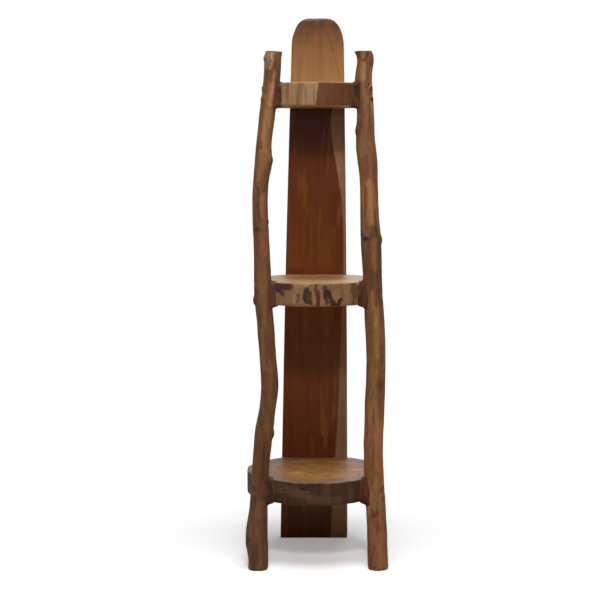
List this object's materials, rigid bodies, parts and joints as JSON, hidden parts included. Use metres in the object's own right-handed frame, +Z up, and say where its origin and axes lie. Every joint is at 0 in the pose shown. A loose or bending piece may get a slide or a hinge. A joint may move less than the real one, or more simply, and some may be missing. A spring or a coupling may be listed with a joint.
{
  "type": "corner shelf",
  "caption": "Rustic corner shelf: round log slices carried between two crooked peeled branches in front and a tapered back board with a rounded crown.",
  "frame": {"origin": "on the floor, under the middle of the object's box", "axes": "+X to the right seen from the front, +Y to the back, towards the wall, +Z up"},
  "size_m": [0.2572, 0.2667, 1.0002],
  "materials": {
    "board_wood": "oiled, satin",
    "branch_wood": "peeled and oiled, satin",
    "slice_wood": "sanded and oiled, satin",
    "joint_paste": "glue and sawdust, smooth",
    "screw_steel": "zinc plated, dull"
  },
  "bodies": {
    "root": {"back_board": "board_wood", "left_post": "branch_wood", "right_post": "branch_wood", "bottom_shelf": "slice_wood", "bottom_board_screws": "screw_steel", "bottom_left_joint_filler": "joint_paste", "bottom_left_post_screws": "screw_steel", "bottom_right_joint_filler": "joint_paste", "bottom_right_post_screws": "screw_steel", "middle_shelf": "slice_wood", "middle_board_screws": "screw_steel", "middle_left_joint_filler": "joint_paste", "middle_left_post_screws": "screw_steel", "middle_right_joint_filler": "joint_paste", "middle_right_post_screws": "screw_steel", "top_shelf": "slice_wood", "top_board_screws": "screw_steel", "top_left_joint_filler": "joint_paste", "top_left_post_screws": "screw_steel", "top_right_joint_filler": "joint_paste", "top_right_post_screws": "screw_steel"}
  },
  "joints": []
}
